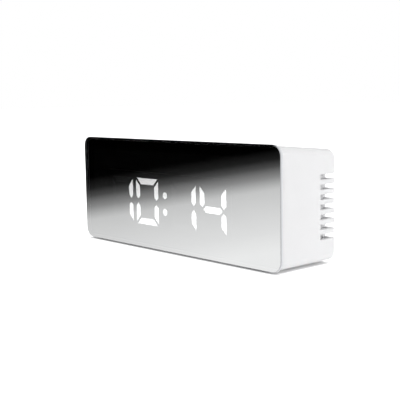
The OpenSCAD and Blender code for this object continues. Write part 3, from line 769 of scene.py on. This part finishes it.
class CLOCK_OT_add_keys(bpy.types.Operator):
    """Add the four keys on the back, each with a dished cap and a plain mark"""

    bl_idname = "clock.add_keys"
    bl_label = "Keys"

    def execute(self, context):
        settings = context.scene.clock_controls
        # Off-white ABS, a shade greyer than the housing, worn to a soft gloss by fingers
        plastic = moulded("key_abs", settings.keys, 0.42, 0.6 * MM, 0.008 * MM, 0.97)
        # Grey paint wiped into the marks: matt
        ink = moulded("mark_ink", settings.ink, 0.5, 0.3 * MM, 0.002 * MM, 0.9)
        # Black nylon: smooth with a low gloss
        plunger_plastic = moulded("plunger_nylon", linear("#1B1B1D"), 0.4, 0.5 * MM, 0.004 * MM, 0.9)
        flange_lip = 0.8 * MM
        flange = 0.8 * MM
        stem_radius = 1.5 * MM
        stem = 1.05 * MM
        dish_steps = 5
        rim_share = 0.9
        for key in KEYS:
            low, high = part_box(key + "_button")
            flange_radius = (high.x - low.x) / 2
            radius = flange_radius - flange_lip
            length = high.y - low.y
            profile = [
                (stem_radius, 0),
                (stem_radius, stem),
                (flange_radius, stem),
                (flange_radius, stem + flange),
                (radius, stem + flange),
                (radius, length),
            ]
            hollow = radius - settings.rim
            shares = [1 - k / (dish_steps + 1) for k in range(dish_steps + 1)]
            profile += [(hollow * s, length - settings.dish * (1 - s**2)) for s in shares]
            centre = Vector(((low.x + high.x) / 2, low.y, (low.z + high.z) / 2))
            cap = turned(key + "_cap", profile, centre, (-QUARTER, 0, 0))
            top = high.y
            round_edges(cap, settings.rim * rim_share, rims_behind(top - NUDGE), 4)
            floor_of_dish = Vector((centre.x, top - settings.dish, centre.z))
            cut(cap, key_mark(key, floor_of_dish, settings.mark, settings.mark_radius))
            closed(cap)

            def in_mark(face, centre=centre):
                """True for a face below the dished surface and above the key's body."""
                off = math.hypot(face.center.x - centre.x, face.center.z - centre.z)
                dished = top - settings.dish * (1 - (off / hollow) ** 2)
                lowest = top - 4 * settings.dish
                return off < settings.mark_radius and lowest < face.center.y < dished - NUDGE

            paint(cap, plastic, (ink, in_mark))
            place(cap, key + "_key", "button_white", key + "_button")
            dress(plunger_plastic, key + "_plunger")
        return {"FINISHED"}


class CLOCK_OT_add_slider(bpy.types.Operator):
    """Add the brightness slider with its grooved knob"""

    bl_idname = "clock.add_slider"
    bl_label = "Brightness slider"

    def execute(self, context):
        settings = context.scene.clock_controls
        _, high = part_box("brightness_slider")
        knob = copy_of_node("brightness_slider", "slider_knob")
        knob_depth = 0.9 * MM
        knob_rim = 0.1 * MM
        round_edges(knob, knob_rim, rims_behind(high.y - knob_depth), 2)
        smooth(knob)
        # Off-white ABS as on the keys, a little darker, with a dull touch
        paint(knob, moulded("slider_abs", shade(settings.keys, 0.94), 0.45, 0.5 * MM, 0.006 * MM))
        place(knob, "slider", "slider_white", "brightness_slider")
        return {"FINISHED"}


class CLOCK_OT_add_inlet(bpy.types.Operator):
    """Add the power inlet: a folded steel shell round a tongue with gilt contacts"""

    bl_idname = "clock.add_inlet"
    bl_label = "Power inlet"

    def execute(self, context):
        low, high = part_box("usb_socket")
        shell = copy_of_node("usb_socket", "inlet_shell")
        fold = 0.12 * MM
        long_edge = 2 * MM
        round_edges(shell, fold, lambda e: is_sharp(e) and run_back(e) > long_edge, 2)
        middle = (low + high) / 2
        tongue_half = 2.6 * MM
        tongue_thick = 0.4 * MM
        mouth_start = high.y - 5.6 * MM

        def on_tongue(face):
            centre = face.center
            return (
                abs(centre.x - middle.x) < tongue_half
                and abs(centre.z - middle.z) < tongue_thick
                and centre.y > mouth_start
            )

        smooth(shell)
        # Black nylon in the steel shell: dull beside the metal
        tongue = moulded("tongue_nylon", linear("#18181A"), 0.45, 0.4 * MM, 0.004 * MM)
        paint(shell, drawn_metal("stamped_steel", linear("#C8C9CB"), 0.32), (tongue, on_tongue))
        place(shell, "case", "socket_steel", "usb_socket")
        strips = []
        strip_count = 5
        strip_pitch = 0.9 * MM
        strip_width = 0.4 * MM
        strip_thick = 0.06 * MM
        strip_start = mouth_start + 0.6 * MM
        strip_end = high.y - 1.1 * MM
        strip_seat = middle.z + 0.35 * MM
        for k in range(strip_count):
            x = middle.x + (k - (strip_count - 1) / 2) * strip_pitch
            strip = cuboid(
                "strip",
                (x - strip_width / 2, strip_start, strip_seat - strip_thick / 3),
                (x + strip_width / 2, strip_end, strip_seat + strip_thick),
            )
            round_edges(strip, strip_thick / 2, is_sharp, 1)
            strips.append(closed(strip))
        contacts = join("inlet_contacts", strips)
        # Gold flashed copper alloy: the one warm glint in the inlet
        paint(contacts, plated_metal("gilt_contact", linear("#D8B25A"), 0.3))
        place(contacts, "case", "contact_plate")
        return {"FINISHED"}


CELL_COUNT = 3
CELL_RADIUS = 5.25 * MM


class CLOCK_OT_add_cells(bpy.types.Operator):
    """Add the three cells with crimped sleeves and steel ends"""

    bl_idname = "clock.add_cells"
    bl_label = "Cells"

    def execute(self, context):
        settings = context.scene.clock_battery
        low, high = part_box("battery_cells")
        radius = CELL_RADIUS
        length = 44.5 * MM
        pitch = (high.z - low.z - 2 * radius) / (CELL_COUNT - 1)
        y = (low.y + high.y) / 2
        nub = 1.9 * MM
        nub_step = 0.5 * MM
        nub_soft = 0.25 * MM
        seat = 1.2 * MM
        crimp = 0.45 * MM
        shoulder = 0.1 * MM
        flat = 0.12 * MM
        band_start = length - 9 * MM
        profile = [
            (radius - seat - 0.4 * MM, 0),
            (radius - seat, flat),
            (radius - crimp, flat),
            (radius - shoulder, 0.35 * MM),
            (radius, 0.7 * MM),
            (radius, band_start),
            (radius, length - 2.1 * MM),
            (radius - shoulder, length - 1.7 * MM),
            (radius - crimp, length - 1.4 * MM),
            (radius - seat, length - 1.4 * MM),
            (nub + nub_step, length - 1.3 * MM),
            (nub, length - 1.1 * MM),
            (nub, length - nub_soft),
            (nub - nub_soft, length),
        ]
        steel = plated_metal("nickel_plate", linear("#CFCFCB"), 0.25)
        # Shrunk film over the steel can: a printed colour under a wet gloss
        sleeve = moulded("printed_sleeve", settings.sleeve, 0.25, 1.2 * MM, 0.001 * MM, 0.9)
        band = moulded("printed_band", settings.band, 0.25, 1.2 * MM, 0.001 * MM, 0.95)
        for k in range(CELL_COUNT):
            # The flat end lies on its spring, the raised end on the plate opposite
            way = 1 if k % 2 == 0 else -1
            z = low.z + radius + k * pitch
            flat_x = high.x - length if way > 0 else low.x + length
            cell = turned(f"cell_{k + 1}", profile, (flat_x, y, z), (0, way * QUARTER, 0))

            def along(face, base=flat_x):
                return abs(face.center.x - base)

            def off_axis(face, z=z):
                return math.hypot(face.center.y - y, face.center.z - z)

            edge = radius - crimp - shoulder
            paint(
                cell,
                steel,
                (sleeve, lambda f: off_axis(f) > edge),
                (band, lambda f: off_axis(f) > edge and along(f) > band_start),
            )
            place(cell, "case", "cell_sleeve", "battery_cells")
        return {"FINISHED"}


class CLOCK_OT_add_springs(bpy.types.Operator):
    """Add the contact springs and their plates"""

    bl_idname = "clock.add_springs"
    bl_label = "Springs and contacts"

    def execute(self, context):
        settings = context.scene.clock_battery
        steel = plated_metal("spring_wire", linear("#D2D2D0"), 0.22, 0.3 * MM)
        cells_low, cells_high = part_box("battery_cells")
        plate_low, plate_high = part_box("battery_contacts")
        plate_thick = 0.4 * MM
        wire_radius = 0.3 * MM
        base_radius = 3.4 * MM
        tip_radius = 2.2 * MM
        gap = 0.03 * MM
        steps = 28
        pitch = (cells_high.z - cells_low.z - 2 * CELL_RADIUS) / (CELL_COUNT - 1)
        middle_y = (cells_low.y + cells_high.y) / 2
        spring_length = 4.4 * MM
        run = spring_length - 2 * wire_radius - 2 * gap
        for k in range(CELL_COUNT):
            side = -1 if k % 2 == 0 else 1
            plate = plate_low.x + plate_thick if side < 0 else plate_high.x - plate_thick
            z = cells_low.z + CELL_RADIUS + k * pitch
            points = []
            total = round(settings.curls * steps)
            for i in range(total + 1):
                share = i / total
                ring = base_radius + (tip_radius - base_radius) * share
                angle = math.tau * i / steps
                x = plate - side * (wire_radius + gap + run * share)
                y = middle_y + side * ring * math.cos(angle)
                points.append((x, y, z + ring * math.sin(angle)))
            spring = wire(f"spring_{k + 1}", points, wire_radius)
            paint(spring, steel)
            place(spring, "case", "spring_steel", "battery_springs")
        dress(plated_metal("nickel_contact", linear("#C9C3AE"), 0.3), "battery_contacts")
        return {"FINISHED"}


class CLOCK_OT_add_leads(bpy.types.Operator):
    """Add the red and the black lead between the battery bay and the display board"""

    bl_idname = "clock.add_leads"
    bl_label = "Leads"

    def execute(self, context):
        radius = 0.6 * MM
        shift = 6 * MM
        steps = 24
        for node, name, slot, code, side in (
            ("red_lead", "red_wire", "lead_red", "#B3201F", -1),
            ("black_lead", "black_wire", "lead_black", "#1A1A1C", 1),
        ):
            low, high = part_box(node)
            start_x = high.x - radius if side < 0 else low.x + radius
            z = (low.z + high.z) / 2
            points = []
            for i in range(steps + 1):
                share = i / steps
                ease = share * share * (3 - 2 * share)
                points.append((start_x + side * shift * ease, high.y - (high.y - low.y) * share, z))
            lead = wire(name, points, radius)
            paint(lead, moulded(name + "_pvc", linear(code), 0.35, 0.8 * MM, 0.004 * MM, 0.92))
            place(lead, "case", slot, node)
        return {"FINISHED"}


class CLOCK_OT_add_boards(bpy.types.Operator):
    """Finish the boards and what is soldered to them"""

    bl_idname = "clock.add_boards"
    bl_label = "Boards"

    def execute(self, context):
        dress(solder_mask(), "display_board", "control_board")
        # Zinc plated steel: cool and half bright
        dress(plated_metal("zinc_screw", linear("#C3C4C2"), 0.34), "display_screws", "control_screws")
        # Nickel plated can: the brightest metal on the board
        dress(plated_metal("crystal_can", linear("#C9C9CA"), 0.22), "clock_crystal")
        dress(ribbed_pvc(linear("#B9BBC0"), 1 * MM), "ribbon_cable")
        # Drawn aluminium: pale, with fine lines up its side
        dress(drawn_metal("capacitor_can", linear("#B9BCC2"), 0.35), "board_capacitors")
        dress_all(
            # Filled epoxy: charcoal, with a fine matt grain
            ("chip_epoxy", "#1C1C1E", 0.55, 0.3, 0.006, 0.85, "controller_chip"),
            # Glazed ceramic: near black with a glassy gloss
            ("resistor_glaze", "#1F2024", 0.25, 0.3, 0.003, 0.85, "board_resistors"),
            # Uncoloured nylon: ivory, with a low sheen
            ("socket_nylon", "#EDE6CF", 0.45, 0.5, 0.006, 0.97, "ribbon_sockets"),
            # Black ABS case: satin
            ("buzzer_case", "#202022", 0.42, 0.5, 0.006, 0.9, "buzzer"),
            # Dipped epoxy bead: brown black and glossy
            ("bead_epoxy", "#23201E", 0.3, 0.4, 0.01, 0.85, "thermistor"),
            # Glass filled polyester: dark grey and dull
            ("switch_pbt", "#38383B", 0.5, 0.5, 0.006, 0.9, "switch_bodies", "slide_switch_body"),
        )
        return {"FINISHED"}


class CLOCK_OT_add_feet(bpy.types.Operator):
    """Add the four rubber feet with soft lower edges"""

    bl_idname = "clock.add_feet"
    bl_label = "Feet"

    def execute(self, context):
        low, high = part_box("rubber_feet")
        radius = 4.5 * MM
        soft = 0.4 * MM
        steps = 4
        # Moulded rubber: dark grey, dry and without a gloss
        rubber = moulded("foot_rubber", linear("#5A5A5C"), 0.75, 0.5 * MM, 0.015 * MM, 0.9)
        turns = [QUARTER * k / steps for k in range(steps + 1)]
        profile = [(radius - soft * (1 - math.sin(t)), soft * (1 - math.cos(t))) for t in turns]
        profile += [(radius, high.z), (radius / 2, high.z)]
        count = 0
        for x in (low.x + radius, high.x - radius):
            for y in (low.y + radius, high.y - radius):
                count += 1
                foot = turned(f"foot_{count}", profile, (x, y, 0), (0, 0, 0), 48)
                paint(foot, rubber)
                place(foot, "case", "foot_rubber", "rubber_feet")
        return {"FINISHED"}


# Studio


def pale_floor(settings):
    """The floor: matt and pale, white to the camera but for the shadow close under the clock.

    A mirror sees a painted reflection on it: it fades to black to the left and far off, as a dark
    studio wall would.
    """
    # How quickly the painted shadow closes in, and how near to its fan point a line of the painted
    # reflection may reach
    shadow_power, nearest = 2.6, 0.4
    # Lines of equal tone fan out from a point this far behind the clock
    fan = 0.75
    # The tones of the painted reflection, from the pale right to the black left, by their distance
    # along X
    right, left = 0.04, -0.28
    painted_reflection_tones = (
        (0.03, "#EDEDED"),
        (-0.01, "#DFDFDF"),
        (-0.11, "#C7C7C7"),
        (-0.15, "#898989"),
        (-0.19, "#484848"),
        (-0.22, "#1D1D1D"),
        (-0.27, "#000000"),
    )
    # The painted reflection grows dark between these distances
    fade_from, fade_to = 0.7, 1.6
    # Its brightness before that, which makes up for the light that the coat lets through
    gain = 1.34
    material = bpy.data.materials.new("pale_floor")
    material.use_nodes = True
    tree = material.node_tree
    tree.nodes.clear()
    # Painted shadow: ambient occlusion dims the floor's white glow close under the clock, which the
    # camera sees as a contact shadow
    near = add_node(tree, "AmbientOcclusion", {"Distance": settings.contact}, samples=16)
    openness = add_node(tree, "Math", {0: near["AO"], 1: shadow_power}, operation="POWER")["Value"]
    matt = add_node(tree, "BsdfDiffuse", {"Color": (*settings.floor, 1)})["BSDF"]
    glow = add_node(tree, "Math", {0: openness, 1: settings.floor_glow}, operation="MULTIPLY")
    under = add_node(tree, "Emission", {"Color": (*settings.floor, 1), "Strength": glow["Value"]})
    lit = add_node(tree, "AddShader", {0: matt, 1: under["Emission"]})["Shader"]
    lift = add_node(tree, "Emission", {"Color": WHITE, "Strength": openness})
    white = add_node(tree, "AddShader", {0: matt, 1: lift["Emission"]})["Shader"]
    coordinates = add_node(tree, "TexCoord")["Object"]
    parts = add_node(tree, "SeparateXYZ", {"Vector": coordinates})
    ahead = add_node(tree, "Math", {0: parts["Y"], 1: -1 / fan, 2: 1.0}, operation="MULTIPLY_ADD")
    spread = add_node(tree, "Math", {0: ahead["Value"], 1: nearest}, operation="MAXIMUM")
    slant = add_node(tree, "Math", {0: parts["X"], 1: spread["Value"]}, operation="DIVIDE")
    along = add_node(tree, "MapRange", {"Value": slant["Value"], "From Min": right, "From Max": left})
    stops = [((slope - right) / (left - right), linear(code)) for slope, code in painted_reflection_tones]
    tone = add_node(tree, "ValToRGB", {"Fac": along["Result"]}, stops=stops)
    distance = add_node(tree, "VectorMath", {0: coordinates}, operation="LENGTH")["Value"]
    far = add_node(
        tree,
        "MapRange",
        {"Value": distance, "From Min": fade_from, "From Max": fade_to, "To Min": gain, "To Max": 0.0},
        interpolation_type="SMOOTHSTEP",
    )
    # Painted reflection: glossy rays see these tones on the floor in place of its lit colour
    seen = add_node(tree, "Emission", {"Color": tone["Color"], "Strength": far["Result"]})
    rays = add_node(tree, "LightPath")
    direct = add_node(tree, "MixShader", {0: rays["Is Camera Ray"], 1: lit, 2: white})["Shader"]
    mixed = add_node(tree, "MixShader", {0: rays["Is Glossy Ray"], 1: direct, 2: seen["Emission"]})
    add_node(tree, "OutputMaterial", {"Surface": mixed["Shader"]})
    return material


def studio_sky(world, settings):
    """White to the camera, even light on the clock, and dark in front where only the mirror looks."""
    # The reflected sky is dark up to the first of these parts of a direction's Y, pale from the second
    dark_front, pale_back, pale_tone = -0.25, 0.1, 0.9
    world.use_nodes = True
    tree = world.node_tree
    tree.nodes.clear()
    rays = add_node(tree, "LightPath")
    even = add_node(tree, "Background", {"Color": WHITE, "Strength": settings.sky_strength})
    backdrop = add_node(tree, "Background", {"Color": WHITE})["Background"]
    coordinates = add_node(tree, "TexCoord")["Generated"]
    direction = add_node(tree, "SeparateXYZ", {"Vector": coordinates})
    front = add_node(
        tree,
        "MapRange",
        {"Value": direction["Y"], "From Min": dark_front, "From Max": pale_back, "To Max": pale_tone},
        interpolation_type="SMOOTHSTEP",
    )["Result"]
    reflected = add_node(tree, "Background", {"Color": WHITE, "Strength": front})["Background"]
    seen = add_node(tree, "MixShader", {0: rays["Is Camera Ray"], 1: even["Background"], 2: backdrop})
    mixed = add_node(tree, "MixShader", {0: rays["Is Glossy Ray"], 1: seen["Shader"], 2: reflected})
    add_node(tree, "OutputWorld", {"Surface": mixed["Shader"]})


class CLOCK_OT_add_stage(bpy.types.Operator):
    """Add the floor, the sky, the lamps and the camera"""

    bl_idname = "clock.add_stage"
    bl_label = "Stage"

    def execute(self, context):
        settings = context.scene.clock_stage
        floor_size = 12
        lamp_size = 0.5
        nearest_seen = 0.01
        deselect()
        bpy.ops.mesh.primitive_plane_add(size=floor_size, location=(0, 0, 0))
        floor = named("floor")
        paint(floor, pale_floor(settings))
        context.scene.world = bpy.data.worlds.new("studio_sky")
        studio_sky(context.scene.world, settings)
        for name, spot, share in (
            ("right_lamp", (1.0, 0.25, 0.25), 1.0),
            ("left_lamp", (-1.0, 0.25, 0.25), 1.0),
            ("top_lamp", (0.1, 0.15, 1.1), 0.4),
        ):
            deselect()
            bpy.ops.object.light_add(type="AREA", location=spot)
            lamp = context.object
            lamp.name = name
            lamp.data.shape = "DISK"
            lamp.data.size = lamp_size
            lamp.data.energy = settings.lamp_power * share
            lamp.rotation_euler = Vector(spot).to_track_quat("Z", "Y").to_euler()
        bpy.ops.object.camera_add(location=settings.camera_place, rotation=settings.camera_turn)
        camera = context.object
        camera.name = "camera"
        camera.data.lens = settings.lens
        camera.data.sensor_width = 36
        camera.data.clip_start = nearest_seen
        context.scene.camera = camera
        context.scene.view_settings.view_transform = "Standard"
        return {"FINISHED"}


class CLOCK_PT_pieces(bpy.types.Panel):
    """The clock's pieces and settings"""

    bl_idname = "CLOCK_PT_pieces"
    bl_label = "Mirror alarm clock"
    bl_space_type = "VIEW_3D"
    bl_region_type = "UI"
    bl_category = "Clock"

    def draw(self, context):
        layout = self.layout
        for step in STEPS:
            layout.operator(step.bl_idname)
        for group in SETTINGS:
            box = layout.box()
            box.label(text=SETTINGS[group].__doc__)
            values = getattr(context.scene, group)
            for name in SETTINGS[group].__annotations__:
                box.prop(values, name)


STEPS = (
    CLOCK_OT_add_stage,
    CLOCK_OT_add_mirror,
    CLOCK_OT_add_display,
    CLOCK_OT_add_housing,
    CLOCK_OT_add_door,
    CLOCK_OT_add_keys,
    CLOCK_OT_add_slider,
    CLOCK_OT_add_inlet,
    CLOCK_OT_add_cells,
    CLOCK_OT_add_springs,
    CLOCK_OT_add_leads,
    CLOCK_OT_add_boards,
    CLOCK_OT_add_feet,
)
SETTINGS = {
    "clock_mirror": ClockMirrorSettings,
    "clock_display": ClockDisplaySettings,
    "clock_housing": ClockHousingSettings,
    "clock_controls": ClockControlSettings,
    "clock_battery": ClockBatterySettings,
    "clock_stage": ClockStageSettings,
}


def register():
    for group, kind in SETTINGS.items():
        bpy.utils.register_class(kind)
        setattr(bpy.types.Scene, group, PointerProperty(type=kind))
    for kind in (*STEPS, CLOCK_PT_pieces):
        bpy.utils.register_class(kind)


def unregister():
    for kind in (CLOCK_PT_pieces, *reversed(STEPS)):
        bpy.utils.unregister_class(kind)
    for group, kind in reversed(SETTINGS.items()):
        delattr(bpy.types.Scene, group)
        bpy.utils.unregister_class(kind)


def main():
    register()
    bpy.ops.clock.add_stage()
    bpy.ops.clock.add_mirror()
    bpy.ops.clock.add_display()
    bpy.ops.clock.add_housing()
    bpy.ops.clock.add_door()
    bpy.ops.clock.add_keys()
    bpy.ops.clock.add_slider()
    bpy.ops.clock.add_inlet()
    bpy.ops.clock.add_cells()
    bpy.ops.clock.add_springs()
    bpy.ops.clock.add_leads()
    bpy.ops.clock.add_boards()
    bpy.ops.clock.add_feet()
    deselect()


if __name__ == "__main__":
    main()
